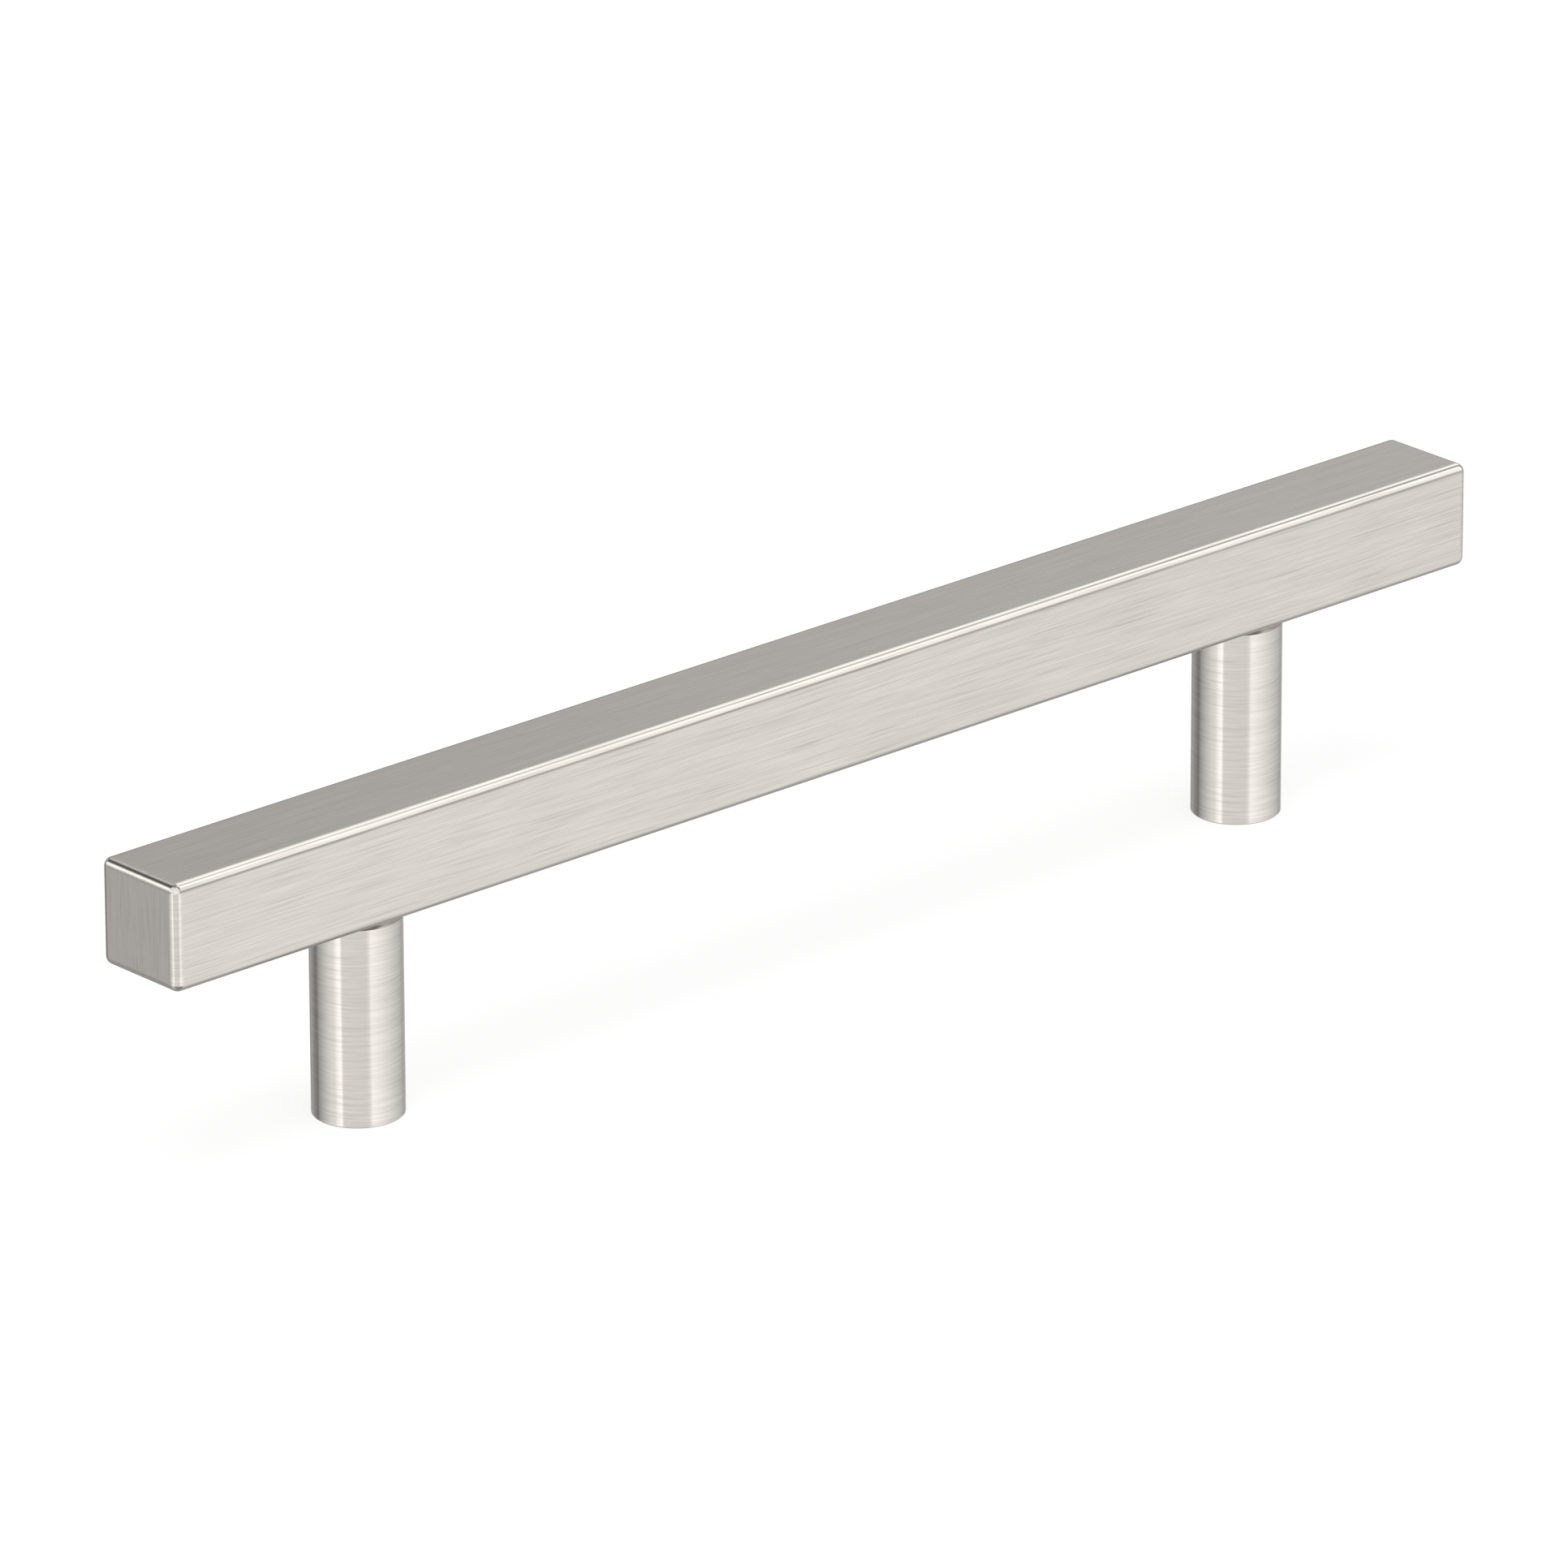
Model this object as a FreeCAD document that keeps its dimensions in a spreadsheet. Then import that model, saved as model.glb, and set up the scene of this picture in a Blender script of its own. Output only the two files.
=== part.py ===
"""T bar cabinet pull: a square bar with rounded edges on two round posts, each
post held to the bar by a stud and tapped in its foot for a screw from behind.

Frame: the origin lies on the mounting surface midway between the two posts,
X runs along the bar and Z points away from the mounting surface.
"""
import FreeCAD
import Part
import Sketcher
import math
import os

# Driving sizes, in millimetres and degrees
SIZES = {
    "hole_spacing": 128.0,
    # The bar reaches this far past the middle of each post
    "bar_overhang": 29.5,
    "bar_width": 12.0,
    "bar_height": 12.0,
    "edge_radius": 1.0,
    "post_diameter": 10.0,
    "post_height": 23.0,
    "foot_edge_break": 0.1,
    "post_top_chamfer": 0.65,
    # M4 coarse thread, shared by the foot holes and the studs
    "thread_major": 4.0,
    "tap_drill": 3.3,
    "screw_hole_depth": 10.0,
    "countersink_margin": 0.3,
    "countersink_angle": 90.0,
    "drill_point_angle": 118.0,
    # Studs between posts and bar, half of each in either piece
    "stud_length": 14.0,
    "stud_clearance": 0.02,
    "stud_end_room": 1.0,
    "stud_end_chamfer": 0.5,
    "stud_socket_flats": 2.0,
    "stud_socket_depth": 2.5,
}

ORIGIN = FreeCAD.Vector(0, 0, 0)
UP = FreeCAD.Vector(0, 0, 1)
HEXAGON_SIDES = 6

doc = FreeCAD.newDocument("t_bar_cabinet_pull")
sheet = doc.addObject("Spreadsheet::Sheet", "sizes")
for row, (alias, value) in enumerate(SIZES.items(), start=1):
    sheet.set(f"A{row}", alias)
    sheet.set(f"B{row}", str(value))
    sheet.setAlias(f"B{row}", alias)
doc.recompute()


def new_body(label, x="0", z="0"):
    """A body named as its node, set along the bar at x and at height z."""
    body = doc.addObject("PartDesign::Body", label)
    body.Label = label
    body.setExpression(".Placement.Base.x", x)
    body.setExpression(".Placement.Base.z", z)
    return body


def new_sketch(body, name, role, height=None):
    """A sketch on one of the body's own origin planes, raised to height."""
    sketch = body.newObject("Sketcher::SketchObject", name)
    plane = next(item for item in body.Origin.OriginFeatures if item.Role == role)
    sketch.AttachmentSupport = [(plane, "")]
    sketch.MapMode = "FlatFace"
    if height:
        sketch.setExpression(".AttachmentOffset.Base.z", height)
    return sketch


def dimension(sketch, name, kind, *where, size):
    """A named sketch dimension bound to a size."""
    index = sketch.addConstraint(Sketcher.Constraint(kind, *where, 1.0))
    sketch.renameConstraint(index, name)
    sketch.setExpression("Constraints." + name, size)


def draw_circle(sketch, diameter, name="diameter"):
    """A circle about the sketch's origin."""
    circle = sketch.addGeometry(Part.Circle(ORIGIN, UP, 1.0))
    sketch.addConstraint(Sketcher.Constraint("Coincident", circle, 3, -1, 1))
    dimension(sketch, name, "Diameter", circle, size=diameter)


def extrude(body, name, sketch, length, both_ways=False):
    """A pad of the sketch, to one side or half to each side."""
    pad = body.newObject("PartDesign::Pad", name)
    pad.Profile = sketch
    pad.Midplane = both_ways
    pad.setExpression("Length", length)
    doc.recompute()
    return pad


def edges_at(shape, height):
    """Names of the flat edges that lie at one height."""
    return [
        f"Edge{number}"
        for number, edge in enumerate(shape.Edges, start=1)
        if abs(edge.BoundBox.ZMin - height) < 1e-6
        and abs(edge.BoundBox.ZMax - height) < 1e-6
    ]


def drill(body, name, sketch, diameter, depth, reverse=False, countersink=False):
    """A blind drilled hole with a drill point, and a countersink if asked."""
    hole = body.newObject("PartDesign::Hole", name)
    hole.Profile = sketch
    doc.recompute()
    hole.DepthType = "Dimension"
    hole.Reversed = reverse
    hole.DrillPoint = "Angled"
    hole.setExpression("Diameter", diameter)
    hole.setExpression("Depth", depth)
    hole.setExpression("DrillPointAngle", "sizes.drill_point_angle")
    if countersink:
        hole.HoleCutType = "Countersink"
        doc.recompute()
        hole.HoleCutCustomValues = True
        hole.setExpression("HoleCutDiameter", "sizes.thread_major + sizes.countersink_margin")
        hole.setExpression("HoleCutCountersinkAngle", "sizes.countersink_angle")
    doc.recompute()
    return hole


STUD_BORE = "sizes.thread_major + 2 * sizes.stud_clearance"
STUD_BORE_DEPTH = "sizes.stud_length / 2 + sizes.stud_end_room"


def make_bar():
    """The square bar: rounded all over, bored from below for the studs."""
    body = new_body("handle_bar", z="sizes.post_height")

    section = new_sketch(body, "bar_section", "YZ_Plane")
    half_width = SIZES["bar_width"] / 2
    height = SIZES["bar_height"]
    corners = [(-half_width, 0), (half_width, 0), (half_width, height), (-half_width, height)]
    for start, end in zip(corners, corners[1:] + corners[:1]):
        section.addGeometry(
            Part.LineSegment(FreeCAD.Vector(*start, 0), FreeCAD.Vector(*end, 0))
        )
    for line in range(4):
        section.addConstraint(Sketcher.Constraint("Coincident", line, 2, (line + 1) % 4, 1))
    section.addConstraint(Sketcher.Constraint("Horizontal", 0))
    section.addConstraint(Sketcher.Constraint("Horizontal", 2))
    section.addConstraint(Sketcher.Constraint("Vertical", 1))
    section.addConstraint(Sketcher.Constraint("Vertical", 3))
    section.addConstraint(Sketcher.Constraint("Symmetric", 0, 1, 0, 2, -1, 1))
    dimension(section, "width", "DistanceX", 0, 1, 0, 2, size="sizes.bar_width")
    dimension(section, "height", "DistanceY", 1, 1, 1, 2, size="sizes.bar_height")
    length = "sizes.hole_spacing + 2 * sizes.bar_overhang"
    bar = extrude(body, "bar", section, length, both_ways=True)

    rounding = body.newObject("PartDesign::Fillet", "rounded_edges")
    rounding.Base = (bar, [""])
    rounding.UseAllEdges = True
    rounding.setExpression("Radius", "sizes.edge_radius")
    doc.recompute()

    centres = new_sketch(body, "stud_bore_centres", "XY_Plane")
    for middle in (-SIZES["hole_spacing"] / 2, SIZES["hole_spacing"] / 2):
        centres.addGeometry(Part.Circle(FreeCAD.Vector(middle, 0, 0), UP, 1.0))
    centres.addConstraint(Sketcher.Constraint("PointOnObject", 0, 3, -1))
    centres.addConstraint(Sketcher.Constraint("Symmetric", 0, 3, 1, 3, -1, 1))
    centres.addConstraint(Sketcher.Constraint("Equal", 0, 1))
    dimension(centres, "bore", "Diameter", 0, size=STUD_BORE)
    dimension(centres, "spacing", "DistanceX", 0, 3, 1, 3, size="sizes.hole_spacing")
    drill(body, "stud_bores", centres, STUD_BORE, STUD_BORE_DEPTH, reverse=True)
    return body


def make_post(label, x):
    """A round post: tapped in its foot, chamfered round its top and bored
    there for the stud."""
    body = new_body(label, x=x)

    section = new_sketch(body, label + "_section", "XY_Plane")
    draw_circle(section, "sizes.post_diameter")
    post = extrude(body, label + "_round", section, "sizes.post_height")

    foot_break = body.newObject("PartDesign::Chamfer", label + "_foot_edge")
    foot_break.Base = (post, edges_at(post.Shape, 0.0))
    foot_break.setExpression("Size", "sizes.foot_edge_break")
    doc.recompute()

    top_chamfer = body.newObject("PartDesign::Chamfer", label + "_top_edge")
    top_chamfer.Base = (foot_break, edges_at(foot_break.Shape, SIZES["post_height"]))
    top_chamfer.setExpression("Size", "sizes.post_top_chamfer")
    doc.recompute()

    foot = new_sketch(body, label + "_screw_centre", "XY_Plane")
    draw_circle(foot, "sizes.tap_drill")
    drill(body, label + "_screw_hole", foot, "sizes.tap_drill", "sizes.screw_hole_depth",
          reverse=True, countersink=True)

    top = new_sketch(body, label + "_stud_centre", "XY_Plane", height="sizes.post_height")
    draw_circle(top, STUD_BORE)
    drill(body, label + "_stud_bore", top, STUD_BORE, STUD_BORE_DEPTH)
    return body


def make_stud(label, x):
    """A socket set screw, half in the post and half in the bar."""
    body = new_body(label, x=x, z="sizes.post_height - sizes.stud_length / 2")

    section = new_sketch(body, label + "_section", "XY_Plane")
    draw_circle(section, "sizes.thread_major")
    shank = extrude(body, label + "_shank", section, "sizes.stud_length")

    ends = body.newObject("PartDesign::Chamfer", label + "_ends")
    ends.Base = (shank, [""])
    ends.UseAllEdges = True
    ends.setExpression("Size", "sizes.stud_end_chamfer")
    doc.recompute()

    hexagon = new_sketch(body, label + "_hexagon", "XY_Plane", height="sizes.stud_length")
    radius = SIZES["stud_socket_flats"] / 2 / math.cos(math.pi / HEXAGON_SIDES)
    points = [
        FreeCAD.Rotation(UP, 360 / HEXAGON_SIDES * corner).multVec(FreeCAD.Vector(radius, 0, 0))
        for corner in range(HEXAGON_SIDES)
    ]
    for corner in range(HEXAGON_SIDES):
        after = points[(corner + 1) % HEXAGON_SIDES]
        hexagon.addGeometry(Part.LineSegment(points[corner], after))
    rim = hexagon.addGeometry(Part.Circle(ORIGIN, UP, radius), True)
    hexagon.addConstraint(Sketcher.Constraint("Coincident", rim, 3, -1, 1))
    for corner in range(HEXAGON_SIDES):
        following = (corner + 1) % HEXAGON_SIDES
        hexagon.addConstraint(Sketcher.Constraint("Coincident", corner, 2, following, 1))
        hexagon.addConstraint(Sketcher.Constraint("PointOnObject", corner, 1, rim))
    for corner in range(1, HEXAGON_SIDES):
        hexagon.addConstraint(Sketcher.Constraint("Equal", 0, corner))
    hexagon.addConstraint(Sketcher.Constraint("PointOnObject", 0, 1, -1))
    dimension(hexagon, "across_corners", "Diameter", rim,
              size="sizes.stud_socket_flats / cos(30)")
    socket = body.newObject("PartDesign::Pocket", label + "_socket")
    socket.Profile = hexagon
    socket.setExpression("Length", "sizes.stud_socket_depth")
    doc.recompute()
    return body


LEFT = "-sizes.hole_spacing / 2"
RIGHT = "sizes.hole_spacing / 2"

nodes = [
    make_bar(),
    make_post("post_left", LEFT),
    make_post("post_right", RIGHT),
    make_stud("joining_stud_left", LEFT),
    make_stud("joining_stud_right", RIGHT),
]
doc.recompute()

# Every feature must have built before anything is written
for item in doc.Objects:
    if "Invalid" in item.State or "Error" in item.State:
        raise RuntimeError(f"{item.Label} did not build: {item.State}")
for node in nodes:
    if node.Shape.isNull() or not node.Shape.isValid() or len(node.Shape.Solids) != 1:
        raise RuntimeError(f"{node.Label} is not one valid solid")

os.makedirs("parts", exist_ok=True)
for node in nodes:
    node.Shape.exportStep(os.path.join("parts", node.Label + ".step"))
    box = node.Shape.BoundBox
    print(
        f"{node.Label}: {node.Shape.Volume:.2f} mm3,"
        f" x {box.XMin:.2f} to {box.XMax:.2f},"
        f" y {box.YMin:.2f} to {box.YMax:.2f},"
        f" z {box.ZMin:.2f} to {box.ZMax:.2f}"
    )
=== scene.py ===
"""T bar cabinet pull in brushed nickel: the finished surfaces, the studio and the
camera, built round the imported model. Everything is in metres, in the model's
own frame: X along the bar, Z away from the mounting surface.
"""
import math

import bmesh
import bpy
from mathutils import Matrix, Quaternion, Vector


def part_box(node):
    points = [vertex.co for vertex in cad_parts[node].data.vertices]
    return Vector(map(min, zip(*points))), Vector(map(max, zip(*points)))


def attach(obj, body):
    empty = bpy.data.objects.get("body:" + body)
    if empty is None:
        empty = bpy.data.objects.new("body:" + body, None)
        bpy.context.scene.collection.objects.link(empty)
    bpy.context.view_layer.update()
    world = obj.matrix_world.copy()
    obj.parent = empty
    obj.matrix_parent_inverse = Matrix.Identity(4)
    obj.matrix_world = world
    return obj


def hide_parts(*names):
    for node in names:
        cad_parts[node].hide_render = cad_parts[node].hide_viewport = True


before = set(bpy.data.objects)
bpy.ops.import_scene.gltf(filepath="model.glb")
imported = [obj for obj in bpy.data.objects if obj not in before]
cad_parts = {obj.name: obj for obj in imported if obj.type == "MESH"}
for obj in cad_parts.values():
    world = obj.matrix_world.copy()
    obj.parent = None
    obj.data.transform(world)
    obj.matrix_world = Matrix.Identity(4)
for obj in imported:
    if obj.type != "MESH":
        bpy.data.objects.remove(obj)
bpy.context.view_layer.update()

MM = 0.001
BODY = "root"

# Sizes of the real pull. THREAD_MAJOR, THREAD_MINOR, STUD_ROOT and STUD_BORE
# are radii.
BAR_LO, BAR_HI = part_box("handle_bar")
POST_LO, POST_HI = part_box("post_left")
EDGE_RADIUS = 1.0 * MM
POST_CENTRE = -(POST_LO.x + POST_HI.x) / 2
POST_RADIUS = (POST_HI.x - POST_LO.x) / 2
POST_HEIGHT = POST_HI.z
FOOT_BREAK = 0.1 * MM
TOP_CHAMFER = 0.65 * MM
THREAD_MAJOR = 2.0 * MM
THREAD_MINOR = 1.65 * MM
THREAD_PITCH = 0.7 * MM
STUD_ROOT = 1.58 * MM
STUD_BORE = 2.02 * MM
STUD_BORE_DEPTH = 8.0 * MM
STUD_CHAMFER = 0.5 * MM
STUD_LO, STUD_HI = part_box("joining_stud_left")
SOCKET_FLATS = 2.0 * MM
SOCKET_DEPTH = 2.5 * MM
SCREW_HOLE_DEPTH = 10.0 * MM
COUNTERSINK_RADIUS = 2.15 * MM
DRILL_ANGLE = 118
DRILL_SLOPE = math.tan(math.radians(90 - DRILL_ANGLE / 2))

# A thread's narrowest part and its flank, as shares of half its pitch
NARROW_SHARE = 0.2
FLANK_SHARE = 0.68

FULL_TURN = 2 * math.pi
QUARTER = math.pi / 2
EIGHTH = math.pi / 4
SOCKET_SIDE = math.pi / 3

AROUND = 72         # segments round every turned surface and bore
ROUNDING = 12       # segments across the bar's rounded edges
THREAD_ROWS = 8     # rows of faces to each turn of a thread
RINGS = 3           # rings of faces on a post's flat foot and top
SLOPE_STEP = 0.02   # a thread's slope is taken this share of the pitch either way
WELD = 1e-7         # corners closer than this are one
SLIVER = 1e-14      # twice the area, in square metres, below which a face is left out
TINY_TURN = 1e-9    # keeps an angle within its own side of the socket

# Places of the finishes among a piece's materials
BRUSHED, BORED, TOP, ENDS = range(4)


# Mesh helpers
class Shell:
    """A mesh put together from patches. Each corner keeps its own normal, its
    place along and across the brush marks, and its place on the bake map."""

    def __init__(self):
        self.mesh = bmesh.new()
        self.normal = self.mesh.loops.layers.float_vector.new("shell_normal")
        self.bake = self.mesh.loops.layers.uv.new("OFBake")
        self.brush = self.mesh.loops.layers.uv.new("Brush")

    def patch(self, rows, columns, surface, brush, chart, material=BRUSHED):
        """A grid of faces. surface gives (place, normal) and brush gives
        (along, across) in metres for a row and a column value. chart is the
        patch's island on the bake map, as two opposite corners."""
        x0, y0, x1, y1 = chart
        grid = []
        for i, row in enumerate(rows):
            line = []
            for j, column in enumerate(columns):
                place, normal = surface(row, column)
                line.append((
                    self.mesh.verts.new(place),
                    Vector(normal).normalized(),
                    brush(row, column),
                    (x0 + (x1 - x0) * self.share(columns, j), y0 + (y1 - y0) * self.share(rows, i)),
                ))
            grid.append(line)
        for i in range(len(rows) - 1):
            for j in range(len(columns) - 1):
                ring = [grid[i][j], grid[i][j + 1], grid[i + 1][j + 1], grid[i + 1][j]]
                self.face(ring, material)

    @staticmethod
    def share(values, index):
        """How far along its own range a value lies."""
        return (values[index] - values[0]) / (values[-1] - values[0])

    def face(self, ring, material):
        """One face, turned to look the way its corners' normals do."""
        corners = [entry[0].co for entry in ring]
        across = (corners[2] - corners[0]).cross(corners[3] - corners[1])
        facing = sum((entry[1] for entry in ring), Vector())
        if across.length < SLIVER:
            return
        if across.dot(facing) < 0:
            ring = ring[::-1]
        made = self.mesh.faces.new([entry[0] for entry in ring])
        made.material_index = material
        made.smooth = True
        for loop, (_, normal, brush, bake) in zip(made.loops, ring):
            loop[self.normal] = normal
            loop[self.brush].uv = brush
            loop[self.bake].uv = bake

    def finish(self, name, materials, node, slot):
        """The patches welded into one object that stands for its node."""
        bmesh.ops.remove_doubles(self.mesh, verts=self.mesh.verts, dist=WELD)
        loose = [vert for vert in self.mesh.verts if not vert.link_faces]
        bmesh.ops.delete(self.mesh, geom=loose, context="VERTS")
        self.mesh.faces.ensure_lookup_table()
        data = bpy.data.meshes.new(name)
        normals = [tuple(loop[self.normal]) for face in self.mesh.faces for loop in face.loops]
        self.mesh.to_mesh(data)
        self.mesh.free()
        data.attributes.remove(data.attributes["shell_normal"])
        data.normals_split_custom_set(normals)
        for material in materials:
            data.materials.append(material)
        piece = bpy.data.objects.new(name, data)
        bpy.context.scene.collection.objects.link(piece)
        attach(piece, BODY)
        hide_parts(node)


def steps(start, end, count):
    """count + 1 evenly spaced values from start to end."""
    return [start + (end - start) * i / count for i in range(count + 1)]


TURN = steps(0.0, FULL_TURN, AROUND)


def spoke(turn):
    """Level unit vector, 0 at +X and turning towards +Y."""
    return Vector((math.cos(turn), math.sin(turn), 0))


def thread_wave(turn, height):
    """0 where a thread is at its widest and 1 at its narrowest. Threads that
    mate share it, so that each crest lies in the other's root."""
    phase = (height / THREAD_PITCH - turn / FULL_TURN) % 1.0
    slope = (abs(phase - 0.5) * 2 - NARROW_SHARE) / FLANK_SHARE
    return 1.0 - min(max(slope, 0.0), 1.0)


def turned(shell, centre, rows, chart, material=BRUSHED, outward=1):
    """A surface of revolution round an upright axis at centre = (x, y). rows
    are (radius, height, slope) with slope the normal's upward tilt, in radians."""
    x, y = centre
    travelled = [0.0]
    for before, after in zip(rows, rows[1:]):
        travelled.append(travelled[-1] + math.hypot(after[0] - before[0], after[1] - before[1]))
    index = {length: row for length, row in zip(travelled, rows)}
    widest = max(row[0] for row in rows)

    def surface(length, turn):
        radius, height, tilt = index[length]
        side = spoke(turn)
        place = Vector((x, y, height)) + side * radius
        return place, side * math.cos(tilt) * outward + Vector((0, 0, math.sin(tilt)))

    def brush(length, turn):
        return turn * widest, length

    shell.patch(travelled, TURN, surface, brush, chart, material)


def threaded(shell, centre, low, high, outer, inner, chart, shape, material=BRUSHED, outward=1):
    """A helical thread from low to high, between two radii. shape(radius,
    height) cuts it to its chamfer or countersink and ends its run."""
    x, y = centre
    count = max(int(round((high - low) / THREAD_PITCH * THREAD_ROWS)), 2)
    small = THREAD_PITCH * SLOPE_STEP

    def radius(height, turn):
        return shape(outer + (inner - outer) * thread_wave(turn, height), height)

    def surface(height, turn):
        side = spoke(turn)
        tilt = (radius(height + small, turn) - radius(height - small, turn)) / (2 * small)
        normal = (side - Vector((0, 0, tilt))) * outward
        return Vector((x, y, height)) + side * radius(height, turn), normal

    def brush(height, turn):
        return turn * outer, height

    shell.patch(steps(low, high, count), TURN, surface, brush, chart, material)


def runs_out(radius, plain, distance):
    """A thread's radius as it fades into a plain bore over its last pitch."""
    share = min(max(distance / THREAD_PITCH, 0.0), 1.0)
    return plain + (radius - plain) * share


def drill_point(shell, centre, radius, start, way, chart):
    """The cone that a drill leaves at the end of a blind hole. way is 1 for a
    hole that goes up and -1 for one that goes down."""
    depth = radius * DRILL_SLOPE
    tilt = -way * math.atan2(radius, depth)
    rows = [(radius, start, tilt), (radius / 2, start + way * depth / 2, tilt),
            (0.0, start + way * depth, tilt)]
    turned(shell, centre, rows, chart, BORED, outward=-1)


# Materials
class Nodes:
    """Short calls for the node tree of a material or of the world."""

    def __init__(self, owner):
        self.owner = owner
        owner.use_nodes = True
        self.tree = owner.node_tree
        self.tree.nodes.clear()

    def add(self, kind, inputs=(), **settings):
        node = self.tree.nodes.new(kind)
        for key, value in settings.items():
            setattr(node, key, value)
        for key, value in dict(inputs).items():
            if isinstance(value, bpy.types.NodeSocket):
                self.tree.links.new(value, node.inputs[key])
            else:
                node.inputs[key].default_value = value
        return node

    def maths(self, operation, *values, clamp=False):
        node = self.add("ShaderNodeMath", {i: v for i, v in enumerate(values)}, operation=operation)
        node.use_clamp = clamp
        return node.outputs[0]


# Layers of the brush marks: length and width in metres, detail and roughness
MARKS = {
    "wander": (0.0300, 0.0030, 1.0, 0.55),
    "fine": (0.0068, 0.00008, 2.0, 0.60),
    "bands": (0.0150, 0.00028, 1.0, 0.50),
    "clouds": (0.0240, 0.00110, 1.0, 0.50),
    "lines": (0.0120, 0.00014, 0.0, 0.55),
}
MIDDLE = 0.5                # the noise's mean
SWAY = 0.0005               # how far the marks wander from side to side, in metres
DASH_START, DASH_FULL = 0.34, 0.16    # noise at which a line starts to be a dash and is one
ROUGHER = 0.05              # how much rougher the bands and dashes are

# How much each layer counts in the colour, against the fine lines
BAND_TONE, CLOUD_TONE, DASH_TONE = 0.55, 0.28, -0.40

# The same for the relief
BAND_HEIGHT, DASH_HEIGHT = 1.5, -0.5


def streaks(nodes, brush, layer, length=1.0, width=1.0):
    """One layer of noise, drawn out along the brush marks."""
    along, across, detail, roughness = MARKS[layer]
    scale = (1 / (along * length), 1 / (across * width), 1.0)
    place = nodes.add("ShaderNodeMapping", {"Vector": brush, "Scale": scale})
    noise = nodes.add("ShaderNodeTexNoise", {
        "Vector": place.outputs[0], "Scale": 1.0, "Detail": detail, "Roughness": roughness,
    }, noise_dimensions="2D")
    return noise.outputs["Fac"]


def brushed_metal(name, colour, roughness, length, width, contrast, relief):
    """Metal with drawn-out brush marks: fine lines, wider bands, faint clouds
    and a few dark dashes. length and width scale the marks, contrast is how
    far they change the colour and relief is their depth in metres."""
    nodes = Nodes(bpy.data.materials.new(name))
    brush = nodes.add("ShaderNodeUVMap", uv_map="Brush").outputs[0]
    wander = streaks(nodes, brush, "wander")
    sway = nodes.maths("MULTIPLY", nodes.maths("SUBTRACT", wander, MIDDLE), SWAY)
    shift = nodes.add("ShaderNodeCombineXYZ", {"Y": sway}).outputs[0]
    marks = nodes.add("ShaderNodeVectorMath", {0: brush, 1: shift}, operation="ADD").outputs[0]

    fine, bands, clouds, lines = [
        streaks(nodes, marks, layer, length, width) for layer in ("fine", "bands", "clouds", "lines")
    ]
    dashes = nodes.add("ShaderNodeMapRange", {
        "Value": lines, "From Min": DASH_START, "From Max": DASH_FULL, "To Min": 0.0, "To Max": 1.0,
    }, interpolation_type="SMOOTHSTEP").outputs[0]

    tone = 1.0
    for layer, middle, share in ((fine, MIDDLE, 1.0), (bands, MIDDLE, BAND_TONE),
                                 (clouds, MIDDLE, CLOUD_TONE), (dashes, 0.0, DASH_TONE)):
        part = nodes.maths("SUBTRACT", layer, middle)
        tone = nodes.maths("MULTIPLY_ADD", part, contrast * share, tone)
    shade = nodes.add("ShaderNodeVectorMath", {0: colour, "Scale": tone}, operation="SCALE")

    rough = nodes.maths("MULTIPLY_ADD", nodes.maths("SUBTRACT", bands, MIDDLE), ROUGHER, roughness)
    rough = nodes.maths("MULTIPLY_ADD", dashes, ROUGHER, rough, clamp=True)

    height = nodes.maths("MULTIPLY_ADD", bands, BAND_HEIGHT, fine)
    height = nodes.maths("MULTIPLY_ADD", dashes, DASH_HEIGHT, height)
    bump = nodes.add("ShaderNodeBump", {"Strength": 1.0, "Distance": relief, "Height": height})

    shader = nodes.add("ShaderNodeBsdfPrincipled", {
        "Base Color": shade.outputs[0], "Metallic": 1.0, "Roughness": rough,
        "Normal": bump.outputs[0],
    })
    output = nodes.add("ShaderNodeOutputMaterial", {"Surface": shader.outputs[0]})
    output.is_active_output = True
    return nodes.owner


NICKEL = (0.72, 0.682, 0.639)
BARE_STEEL = (0.60, 0.585, 0.56)
ZINC = (0.56, 0.56, 0.57)

# Each finish has a name, colour, roughness, length, width, contrast and relief
bar_finish = brushed_metal("brushed_nickel_bar", NICKEL, 0.14, 1.0, 1.0, 0.34, 1.0e-6)
top_finish = brushed_metal("brushed_nickel_bar_top", NICKEL, 0.14, 1.0, 1.0, 0.227, 0.6e-6)
end_finish = brushed_metal("brushed_nickel_bar_ends", NICKEL, 0.14, 1.0, 1.0, 0.26, 0.6e-6)
post_finish = brushed_metal("brushed_nickel_posts", NICKEL, 0.14, 0.6, 1.1, 0.30, 0.9e-6)
bore_finish = brushed_metal("machined_bores", BARE_STEEL, 0.30, 0.3, 0.6, 0.20, 2.0e-6)
stud_finish = brushed_metal("zinc_plated_steel", ZINC, 0.30, 0.3, 0.6, 0.20, 2.0e-6)


# The bar's long faces, counted round its section from the front
TOP_FACE, UNDERSIDE = 1, 3

# The bar's islands on the bake map. Its long faces and edges are strips, one
# under another. Under them each end has its face, its level and upright edges
# and its corners, and each stud bore has its wall and its drill point.
STRIP_LEFT, STRIP_RIGHT = 0.012, 0.988
STRIPS_TOP, STRIPS_BOTTOM, STRIP_GAP = 0.985, 0.215, 0.004
END_LEFT = {-1: 0.012, 1: 0.512}
END_LOW, END_TOP, END_WIDTH = 0.012, 0.19, 0.15
EDGES_LEFT, UPRIGHT_LOW, CORNERS_LEFT = 0.165, 0.11, 0.33
ISLAND, ISLAND_STEP = 0.038, 0.045
BORE_LEFT = {-1: 0.27, 1: 0.77}
BORE_LOW, BORE_TOP, POINT_LOW, BORE_WIDTH = 0.11, 0.16, 0.165, 0.1

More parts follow.
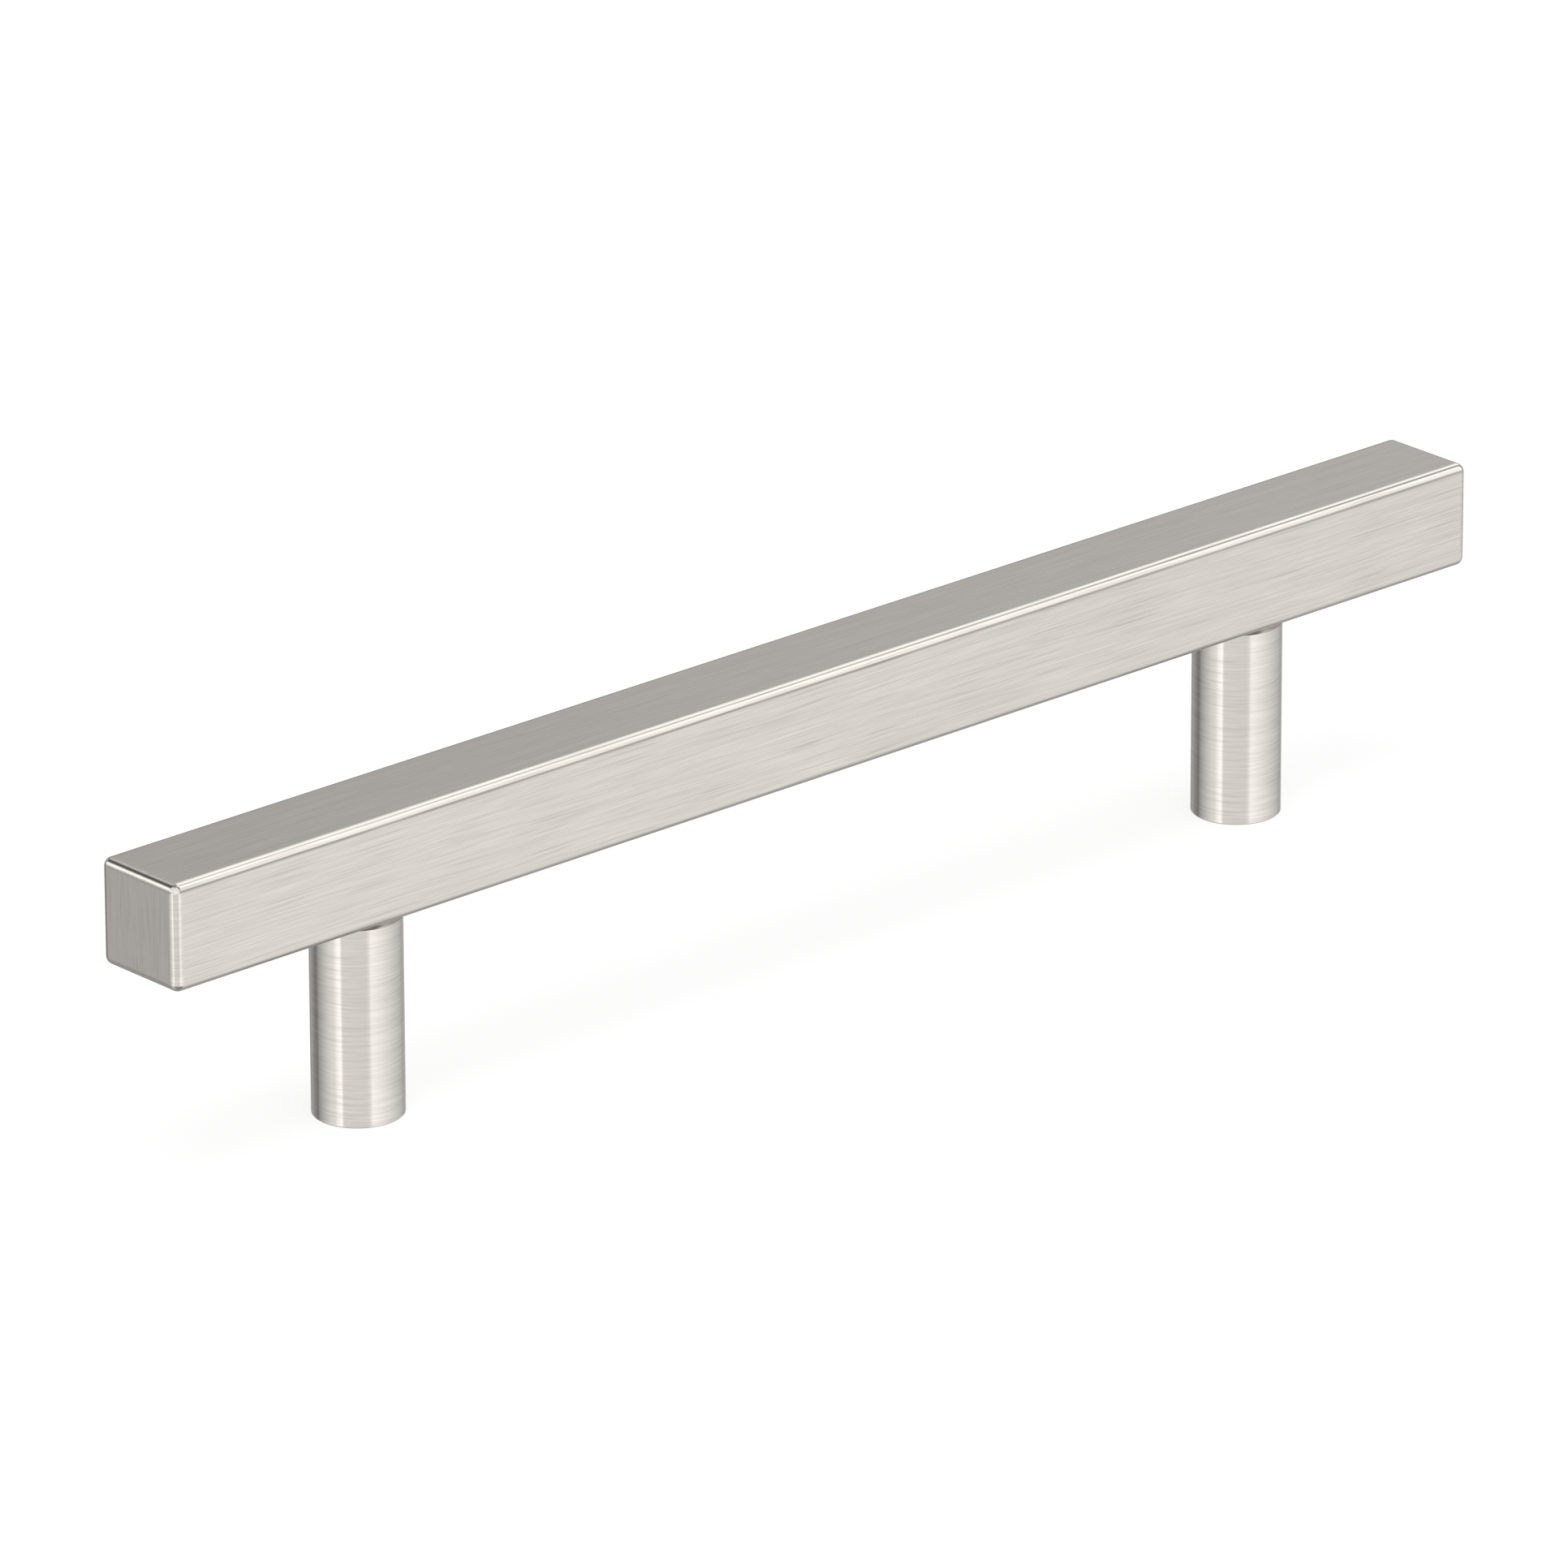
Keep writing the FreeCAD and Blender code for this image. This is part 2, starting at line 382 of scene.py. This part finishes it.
# Each end face and its edges take their marks from their own places on the
# noise. A corner goes on with those of its upright edge.
FACE_MARKS, LEVEL_MARKS, UPRIGHT_MARKS = (0.5, 0.1), (0.3, 0.2), (0.4, 0.6)
END_LENGTH = 0.55   # length of the marks on the ends, against the long faces


# The bar
def make_bar():
    """The square bar with rounded edges and corners, bored for the studs."""
    shell = Shell()
    half_x = (BAR_HI.x - BAR_LO.x) / 2 - EDGE_RADIUS
    half_y = (BAR_HI.y - BAR_LO.y) / 2 - EDGE_RADIUS
    half_z = (BAR_HI.z - BAR_LO.z) / 2 - EDGE_RADIUS
    middle_z = (BAR_HI.z + BAR_LO.z) / 2
    radius = EDGE_RADIUS
    arc = steps(0.0, QUARTER, ROUNDING)
    arc_length = QUARTER * radius
    side = 2 * half_y

    # The flat underside is cut round each bore into a square, whose edges take
    # the bore's own segments
    sector = AROUND // 8
    ys = [half_y * math.tan(math.radians(360 / AROUND * k)) for k in range(-sector, sector + 1)]
    xs = [-half_x] + [-POST_CENTRE + y for y in ys] + [POST_CENTRE + y for y in ys] + [half_x]

    # Long faces and long rounded edges wrap once round the bar. Each starts at
    # this turn of the section, with 0 for the front face.
    wrap_length = 4 * (side + arc_length)
    strips = []
    travelled = 0.0
    for number in range(4):
        strips.append(("flat", number, travelled))
        travelled += side
        strips.append(("edge", number, travelled))
        travelled += arc_length

    def outward(angle):
        """Unit vector in the section, 0 at the front (-Y), turning up to +Z."""
        return Vector((0, -math.cos(angle), math.sin(angle)))

    for kind, number, start in strips:
        facing = outward(number * QUARTER)
        onward = outward(number * QUARTER + QUARTER)
        base = Vector((0, 0, middle_z))

        def chart(length):
            y0 = STRIPS_TOP - (STRIPS_TOP - STRIPS_BOTTOM) * start / wrap_length
            y1 = STRIPS_TOP - (STRIPS_TOP - STRIPS_BOTTOM) * (start + length) / wrap_length
            return (STRIP_LEFT, y0, STRIP_RIGHT, y1 + STRIP_GAP)

        if kind == "flat":
            def surface(t, x):
                return base + facing * (half_y + radius) + onward * t + Vector((x, 0, 0)), facing

            def brush(t, x):
                return x, start + t + half_y
            if number == UNDERSIDE:
                make_underside(shell, surface, brush, xs, ys, chart(side))
            else:
                finish = TOP if number == TOP_FACE else BRUSHED
                shell.patch([-half_y, half_y], xs, surface, brush, chart(side), finish)
        else:
            corner = base + facing * half_y + onward * half_y

            def surface(t, x):
                normal = facing * math.cos(t) + onward * math.sin(t)
                return corner + normal * radius + Vector((x, 0, 0)), normal

            def brush(t, x):
                return x, start + t * radius
            shell.patch(arc, xs, surface, brush, chart(arc_length))

    # Ends: a flat face with upright marks, four rounded edges, four corners
    for end, left in END_LEFT.items():
        face_x = end * (half_x + radius)
        along = Vector((end, 0, 0))

        def face(z, y):
            return Vector((face_x, y, middle_z + z)), along

        def face_brush(z, y):
            return (z + end * FACE_MARKS[0]) / END_LENGTH, y + FACE_MARKS[1]
        shell.patch([-half_z, half_z], ys, face, face_brush,
                    (left, END_LOW, left + END_WIDTH, END_TOP), ENDS)

        for up in (-1, 1):
            def level_edge(t, y):
                normal = along * math.cos(t) + Vector((0, 0, up * math.sin(t)))
                return Vector((end * half_x, y, middle_z + up * half_z)) + normal * radius, normal

            def level_brush(t, y):
                return t * radius + LEVEL_MARKS[0] * up, y + LEVEL_MARKS[1] * end
            x0 = left + EDGES_LEFT
            y0 = END_LOW + (ISLAND_STEP if up > 0 else 0)
            shell.patch(arc, ys, level_edge, level_brush, (x0, y0, x0 + END_WIDTH, y0 + ISLAND))

        for wide in (-1, 1):
            beside = ISLAND_STEP if wide > 0 else 0

            def upright_edge(z, t):
                normal = along * math.cos(t) + Vector((0, wide * math.sin(t), 0))
                return Vector((end * half_x, wide * half_y, middle_z + z)) + normal * radius, normal

            def upright_brush(z, t):
                return t * radius + UPRIGHT_MARKS[0] * wide, z + UPRIGHT_MARKS[1] * end
            x0 = left + EDGES_LEFT + beside
            shell.patch([-half_z, half_z], arc, upright_edge, upright_brush,
                        (x0, UPRIGHT_LOW, x0 + ISLAND, END_TOP))

            for up in (-1, 1):
                def corner(tilt, t):
                    flat = along * math.cos(t) + Vector((0, wide * math.sin(t), 0))
                    normal = flat * math.cos(tilt) + Vector((0, 0, up * math.sin(tilt)))
                    middle = Vector((end * half_x, wide * half_y, middle_z + up * half_z))
                    return middle + normal * radius, normal

                def corner_brush(tilt, t):
                    across = up * (tilt * radius + half_z) + UPRIGHT_MARKS[1] * end
                    return t * radius + UPRIGHT_MARKS[0] * wide, across
                x0 = left + CORNERS_LEFT + beside
                y0 = END_LOW + (ISLAND_STEP if up > 0 else 0)
                shell.patch(arc, arc, corner, corner_brush, (x0, y0, x0 + ISLAND, y0 + ISLAND))

    # The bores for the studs
    low = BAR_LO.z
    high = low + STUD_BORE_DEPTH
    for end, left in BORE_LEFT.items():
        centre = (end * POST_CENTRE, 0.0)

        def bore(radius, height):
            inner_end = runs_out(radius, STUD_BORE, high - height)
            return max(inner_end, STUD_BORE - max(height - low, 0.0))
        threaded(shell, centre, low, high, STUD_BORE, THREAD_MINOR,
                 (left, BORE_LOW, left + BORE_WIDTH, BORE_TOP), bore, BORED, -1)
        drill_point(shell, centre, STUD_BORE, high, 1, (left, POINT_LOW, left + BORE_WIDTH, END_TOP))
    shell.finish("bar", [bar_finish, bore_finish, top_finish, end_finish], "handle_bar",
                 "bar_brushed_nickel")


def make_underside(shell, surface, brush, xs, ys, chart):
    """The flat underside, with a square round each bore ringed down to it."""
    x0, y0, x1, y1 = chart

    def share(x):
        return x0 + (x1 - x0) * (x - xs[0]) / (xs[-1] - xs[0])
    half = ys[-1]
    stretches = [(xs[0], -POST_CENTRE - half), (-POST_CENTRE + half, POST_CENTRE - half),
                 (POST_CENTRE + half, xs[-1])]
    for start, end in stretches:
        shell.patch(ys, [start, end], surface, brush, (share(start), y0, share(end), y1))

    down = Vector((0, 0, -1))
    for middle in (-POST_CENTRE, POST_CENTRE):
        ring = []
        for turn in TURN[:-1]:
            flat = spoke(turn)
            reach = half / max(abs(flat.x), abs(flat.y))
            places = []
            for distance in (STUD_BORE, reach):
                x, y = middle + flat.x * distance, flat.y * distance
                place = Vector((x, y, BAR_LO.z))
                across = y0 + (y1 - y0) * (y + half) / (2 * half)
                places.append((shell.mesh.verts.new(place), down, brush(y, x), (share(x), across)))
            ring.append(places)
        for before, after in zip(ring, ring[1:] + ring[:1]):
            shell.face([before[0], before[1], after[1], after[0]], BRUSHED)


# The islands of a post and of a stud on their bake maps
POST_MAP = {
    "chamfer": (0.01, 0.99, 0.99, 0.97),
    "barrel": (0.01, 0.96, 0.99, 0.36),
    "foot edge": (0.01, 0.345, 0.99, 0.33),
    "foot": (0.01, 0.315, 0.49, 0.23),
    "screw hole": (0.01, 0.215, 0.49, 0.05),
    "screw hole point": (0.01, 0.035, 0.49, 0.01),
    "top": (0.51, 0.315, 0.99, 0.23),
    "stud bore": (0.51, 0.215, 0.99, 0.05),
    "stud bore point": (0.51, 0.035, 0.99, 0.01),
}
STUD_MAP = {
    "thread": (0.01, 0.99, 0.99, 0.29),
    "point": (0.01, 0.27, 0.49, 0.16),
    "rim": (0.51, 0.16, 0.99, 0.27),
    "socket floor": (0.01, 0.01, 0.49, 0.14),
}
WALLS_LEFT, WALL_STEP, WALL_WIDTH = 0.51, 0.08, 0.07
WALL_LOW, WALL_TOP = 0.01, 0.14


# The posts
def make_post(name, node, x):
    """A turned post: barrel, faced foot with its tapped hole, chamfered and
    bored top."""
    shell = Shell()
    centre = (x, 0.0)
    shoulder = POST_HEIGHT - TOP_CHAMFER
    chamfer = [(POST_RADIUS - TOP_CHAMFER, POST_HEIGHT, EIGHTH), (POST_RADIUS, shoulder, EIGHTH)]
    turned(shell, centre, chamfer, POST_MAP["chamfer"])
    barrel = [(POST_RADIUS, shoulder, 0.0), (POST_RADIUS, FOOT_BREAK, 0.0)]
    turned(shell, centre, barrel, POST_MAP["barrel"])
    broken = [(POST_RADIUS, FOOT_BREAK, -EIGHTH), (POST_RADIUS - FOOT_BREAK, 0.0, -EIGHTH)]
    turned(shell, centre, broken, POST_MAP["foot edge"])
    foot = [(r, 0.0, -QUARTER) for r in steps(POST_RADIUS - FOOT_BREAK, COUNTERSINK_RADIUS, RINGS)]
    turned(shell, centre, foot, POST_MAP["foot"])

    def screw_hole(radius, height):
        inner_end = runs_out(radius, THREAD_MINOR, SCREW_HOLE_DEPTH - height)
        return max(inner_end, COUNTERSINK_RADIUS - max(height, 0.0))
    threaded(shell, centre, 0.0, SCREW_HOLE_DEPTH, THREAD_MAJOR, THREAD_MINOR,
             POST_MAP["screw hole"], screw_hole, BORED, -1)
    drill_point(shell, centre, THREAD_MINOR, SCREW_HOLE_DEPTH, 1, POST_MAP["screw hole point"])

    top = [(r, POST_HEIGHT, QUARTER) for r in steps(POST_RADIUS - TOP_CHAMFER, STUD_BORE, RINGS)]
    turned(shell, centre, top, POST_MAP["top"])
    floor_z = POST_HEIGHT - STUD_BORE_DEPTH

    def stud_hole(radius, height):
        inner_end = runs_out(radius, STUD_BORE, height - floor_z)
        return max(inner_end, STUD_BORE - max(POST_HEIGHT - height, 0.0))
    threaded(shell, centre, floor_z, POST_HEIGHT, STUD_BORE, THREAD_MINOR,
             POST_MAP["stud bore"], stud_hole, BORED, -1)
    drill_point(shell, centre, STUD_BORE, floor_z, -1, POST_MAP["stud bore point"])
    shell.finish(name, [post_finish, bore_finish], node, "post_brushed_nickel")


# The studs
def make_stud(name, node, x):
    """A socket set screw with a true thread and a hexagon socket."""
    shell = Shell()
    centre = (x, 0.0)
    tip = THREAD_MAJOR - STUD_CHAMFER
    low, high = STUD_LO.z, STUD_HI.z

    def chamfered(radius, height):
        nearest = max(min(height - low, high - height), 0.0)
        return min(radius, tip + nearest)
    threaded(shell, centre, low, high, THREAD_MAJOR, STUD_ROOT, STUD_MAP["thread"], chamfered)
    point = [(tip, low, -QUARTER), (tip / 2, low, -QUARTER), (0.0, low, -QUARTER)]
    turned(shell, centre, point, STUD_MAP["point"])

    apothem = SOCKET_FLATS / 2
    floor_z = high - SOCKET_DEPTH

    def hexagon(turn):
        """The socket's wall: its distance from the axis and its inward normal."""
        face = (math.floor(turn / SOCKET_SIDE) + 0.5) * SOCKET_SIDE
        return apothem / math.cos(turn - face), spoke(face) * -1

    def level_face(height, start):
        """A level face from a circle of radius start to the socket's wall."""
        def surface(t, turn):
            reach = hexagon(min(turn, FULL_TURN - TINY_TURN))[0]
            return Vector((x, 0, height)) + spoke(turn) * (start + (reach - start) * t), (0, 0, 1)
        return surface

    def around(t, turn):
        return turn * apothem, t * apothem
    shell.patch([0.0, 1.0], TURN, level_face(high, tip), around, STUD_MAP["rim"])
    shell.patch([0.0, 1.0], TURN, level_face(floor_z, 0.0), around, STUD_MAP["socket floor"])
    for number, start in enumerate(steps(0.0, FULL_TURN, 6)[:-1]):
        end = start + SOCKET_SIDE
        normal = hexagon(start + SOCKET_SIDE / 2)[1]

        def wall(z, turn):
            inside = min(max(turn, start + TINY_TURN), end - TINY_TURN)
            return Vector((x, 0, z)) + spoke(turn) * hexagon(inside)[0], normal

        def upright(z, turn):
            return z, turn * apothem
        left = WALLS_LEFT + WALL_STEP * number
        shell.patch([floor_z, high], steps(start, end, AROUND // 6), wall, upright,
                    (left, WALL_LOW, left + WALL_WIDTH, WALL_TOP))
    shell.finish(name, [stud_finish], node, "stud_steel")


make_bar()
make_post("left_post", "post_left", -POST_CENTRE)
make_post("right_post", "post_right", POST_CENTRE)
make_stud("left_stud", "joining_stud_left", -POST_CENTRE)
make_stud("right_stud", "joining_stud_right", POST_CENTRE)


# The studio
WHITE = (1.0, 1.0, 1.0, 1.0)
FLOOR_GREY = (0.34, 0.34, 0.34, 1.0)
FLOOR_GLOW = 0.74       # what the floor adds for the rays that see it
FLOOR_HALF = 4.0        # half the floor's side, in metres
WORLD_FILL = 0.7
WORLD_WHITE = 1.0
SURROUND_RADIUS = 10.0
SURROUND_STEP = 1.5     # degrees between the surround's corners

# The floor lies this far under the feet. At their own height, rays from below
# pass the floor and miss the faces of the feet.
FLOOR_GAP = 0.02 * MM


def emission(nodes, strength):
    """A plain light-giving surface."""
    return nodes.add("ShaderNodeEmission", {"Color": WHITE, "Strength": strength}).outputs[0]


def shown_rays(nodes):
    """1 for the rays that see the background, 0 for those that carry light."""
    path = nodes.add("ShaderNodeLightPath")
    seen = nodes.maths("ADD", path.outputs["Is Camera Ray"], path.outputs["Is Glossy Ray"])
    return nodes.maths("ADD", seen, path.outputs["Is Transmission Ray"], clamp=True)


def make_floor():
    """A plain white floor that keeps a soft shadow and is clear from below."""
    nodes = Nodes(bpy.data.materials.new("pale_floor"))
    matt = nodes.add("ShaderNodeBsdfDiffuse", {"Color": FLOOR_GREY}).outputs[0]
    glow = nodes.maths("MULTIPLY", shown_rays(nodes), FLOOR_GLOW)
    white = emission(nodes, glow)
    mixed = nodes.add("ShaderNodeAddShader", {0: matt, 1: white}).outputs[0]
    clear = nodes.add("ShaderNodeBsdfTransparent").outputs[0]
    behind = nodes.add("ShaderNodeNewGeometry").outputs["Backfacing"]
    surface = nodes.add("ShaderNodeMixShader", {0: behind, 1: mixed, 2: clear}).outputs[0]
    nodes.add("ShaderNodeOutputMaterial", {"Surface": surface})

    data = bpy.data.meshes.new("floor")
    square = ((-1, -1), (1, -1), (1, 1), (-1, 1))
    corners = [(x * FLOOR_HALF, y * FLOOR_HALF, -FLOOR_GAP) for x, y in square]
    data.from_pydata(corners, [], [(0, 1, 2, 3)])
    data.materials.append(nodes.owner)
    floor = bpy.data.objects.new("floor", data)
    floor.visible_glossy = False
    bpy.context.scene.collection.objects.link(floor)


def ease(share):
    """0 below 0, 1 above 1, smooth between."""
    t = min(max(share, 0.0), 1.0)
    return t * t * (3 - 2 * t)


# The studio round the pull, panel over panel. Azimuth is counted in degrees from
# +X towards +Y and elevation from the horizon. Each panel runs from one azimuth
# to another and from one elevation to another, with edges that fade over the
# four widths given, and its level runs from one side to the other.
# "near ground" is set by the dark wedge under the bar, and is darker than the
# bar's near bottom corner shows those directions to be.
WALL_LEVEL = 0.46
PANELS = [
    # name, azimuths, elevations, widths of the edges, levels
    ("wall behind the camera", (-168, -102), (-60, 0), (6, 6, 20, 10), (0.90, 0.86)),
    ("right softbox", (-101.6, 9), (-49, -7), (13, 26, 18, 30), (1.32, 0.55)),
    ("left wall", (119.5, 170), (-61, -17), (13, 6, 30, 5), (0.38, 1.05)),
    ("left softbox", (166.7, 191.2), (-34, 0), (16, 5, 14, 10), (0.91, 1.57)),
    ("dark flag", (74, 118), (-31, 0), (32, 9, 19, 10), (0.49, 0.18)),
    ("back wall", (28, 75), (-60, 26), (20, 20, 20, 10), (0.62, 0.30)),
    ("top of the back wall", (28, 75), (0, 26), (20, 20, 16, 10), (0.53, 0.20)),
    ("far ground", (-20, 130), (-130, -34), (30, 30, 10, 16), (0.45, 0.36)),
    ("near ground", (-165, -50), (-130, -38), (20, 12, 10, 10), (0.30, 0.30)),
    ("upper back wall", (66.5, 107), (35.5, 70), (24, 10, 24, 20), (0.70, 0.75)),
    ("overhead front left", (-178, -42), (14, 75), (10, 11, 3, 20), (1.05, 1.13)),
    ("key light", (-168, -84), (-4, 48), (10, 12, 14, 12), (1.20, 1.20)),
    ("overhead front", (-46, -14), (5.5, 75), (16, 3, 20, 20), (1.28, 1.57)),
    ("overhead crown", (-60, -11), (47, 85), (20, 39, 7, 20), (1.82, 1.28)),
    ("overhead back", (5.5, 51), (24.5, 75), (27, 24, 22, 20), (1.76, 1.03)),
    ("slot between them", (-9, 16), (20, 50), (5.5, 17.5, 10, 6), (0.25, 0.50)),
    ("left strip", (118, 190), (8, 28), (8, 8, 24, 11), (1.50, 1.36)),
    ("black card", (95, 140), (33, 80), (24, 14, 8, 20), (0.13, 0.06)),
    ("gap beside the key light", (-81, -59), (12, 91), (8, 8, 8, 8), (0.65, 0.65)),
    ("high dark card", (-86.5, -43), (45, 83), (8, 8, 8, 8), (0.22, 0.22)),
    ("high left panel", (138, 179), (31, 89), (8, 8, 8, 8), (1.03, 1.03)),
    ("card at the zenith", (-5, 224), (66, 100), (22, 22, 22, 22), (0.32, 0.32)),
]


def level(azimuth, elevation):
    """How bright the studio is in one direction, both in degrees."""
    value = WALL_LEVEL
    for _, (start, end), (low, high), widths, (first, last) in PANELS:
        half = (end - start) / 2
        place = (azimuth - (start + end) / 2 + 180) % 360 - 180
        inside = (ease((place + half) / widths[0] + 0.5) * ease((half - place) / widths[1] + 0.5)
                  * ease((elevation - low) / widths[2] + 0.5)
                  * ease((high - elevation) / widths[3] + 0.5))
        across = min(max((place + half) / (2 * half), 0.0), 1.0)
        value += (first + (last - first) * across - value) * inside
    return value


def make_surround():
    """The walls, panels and cards round the pull, seen only as reflections."""
    nodes = Nodes(bpy.data.materials.new("studio_surround"))
    read = nodes.add("ShaderNodeAttribute", attribute_name="level").outputs["Fac"]
    nodes.add("ShaderNodeOutputMaterial", {"Surface": emission(nodes, read)})
    nodes.owner.cycles.emission_sampling = "NONE"

    azimuths = [-180 + SURROUND_STEP * k for k in range(int(360 / SURROUND_STEP))]
    elevations = [-90 + SURROUND_STEP * k for k in range(int(180 / SURROUND_STEP) + 1)]
    places, levels, faces = [], [], []
    for elevation in elevations:
        for azimuth in azimuths:
            a, e = math.radians(azimuth), math.radians(elevation)
            toward = Vector((math.cos(e) * math.cos(a), math.cos(e) * math.sin(a), math.sin(e)))
            places.append(toward * SURROUND_RADIUS)
            levels.append(level(azimuth, elevation))
    count = len(azimuths)
    for row in range(len(elevations) - 1):
        for column in range(count):
            after = (column + 1) % count
            faces.append((row * count + column, row * count + after,
                          (row + 1) * count + after, (row + 1) * count + column))
    data = bpy.data.meshes.new("surround")
    data.from_pydata(places, [], faces)
    data.attributes.new("level", "FLOAT", "POINT").data.foreach_set("value", levels)
    data.materials.append(nodes.owner)
    surround = bpy.data.objects.new("surround", data)
    surround.visible_camera = False
    surround.visible_diffuse = False
    surround.visible_transmission = False
    surround.visible_volume_scatter = False
    surround.visible_shadow = False
    bpy.context.scene.collection.objects.link(surround)


def make_world():
    """White where the background shows, and a plain soft fill elsewhere."""
    world = bpy.data.worlds.new("studio")
    bpy.context.scene.world = world
    nodes = Nodes(world)
    fill, white = [
        nodes.add("ShaderNodeBackground", {"Color": WHITE, "Strength": strength}).outputs[0]
        for strength in (WORLD_FILL, WORLD_WHITE)
    ]
    mixed = nodes.add("ShaderNodeMixShader", {0: shown_rays(nodes), 1: fill, 2: white}).outputs[0]
    nodes.add("ShaderNodeOutputWorld", {"Surface": mixed})


def make_lamp(name, place, size, power):
    """A square soft lamp aimed at the pull, for the floor and its shadow."""
    lamp = bpy.data.lights.new(name, "AREA")
    lamp.size = size
    lamp.energy = power
    holder = bpy.data.objects.new(name, lamp)
    holder.location = place
    holder.rotation_mode = "QUATERNION"
    holder.rotation_quaternion = (-Vector(place)).to_track_quat("-Z", "Y")
    holder.visible_glossy = False
    bpy.context.scene.collection.objects.link(holder)


make_floor()
make_surround()
make_world()
make_lamp("overhead_lamp", place=(-0.15, -0.25, 1.2), size=0.9, power=5.5)

# The camera, where the photo was taken from
AZIMUTH, ELEVATION, ROLL = math.radians(-42.147), math.radians(21.419), math.radians(-0.176)
TARGET = Vector((-1.897, 1.687, 19.945)) * MM
DISTANCE = 1.584795
LENS, SENSOR = 338.37, 36.0
CLIP_NEAR, CLIP_FAR = 0.05, 20.0

towards = Vector((
    math.sin(AZIMUTH) * math.cos(ELEVATION),
    -math.cos(AZIMUTH) * math.cos(ELEVATION),
    math.sin(ELEVATION),
))
camera_data = bpy.data.cameras.new("camera")
camera_data.lens = LENS
camera_data.sensor_width = SENSOR
camera_data.clip_start = CLIP_NEAR
camera_data.clip_end = CLIP_FAR
camera = bpy.data.objects.new("camera", camera_data)
camera.location = TARGET + towards * DISTANCE
camera.rotation_mode = "QUATERNION"
camera.rotation_quaternion = Quaternion(towards, ROLL) @ (-towards).to_track_quat("-Z", "Y")
bpy.context.scene.collection.objects.link(camera)
bpy.context.scene.camera = camera

bpy.context.scene.view_settings.view_transform = "Standard"
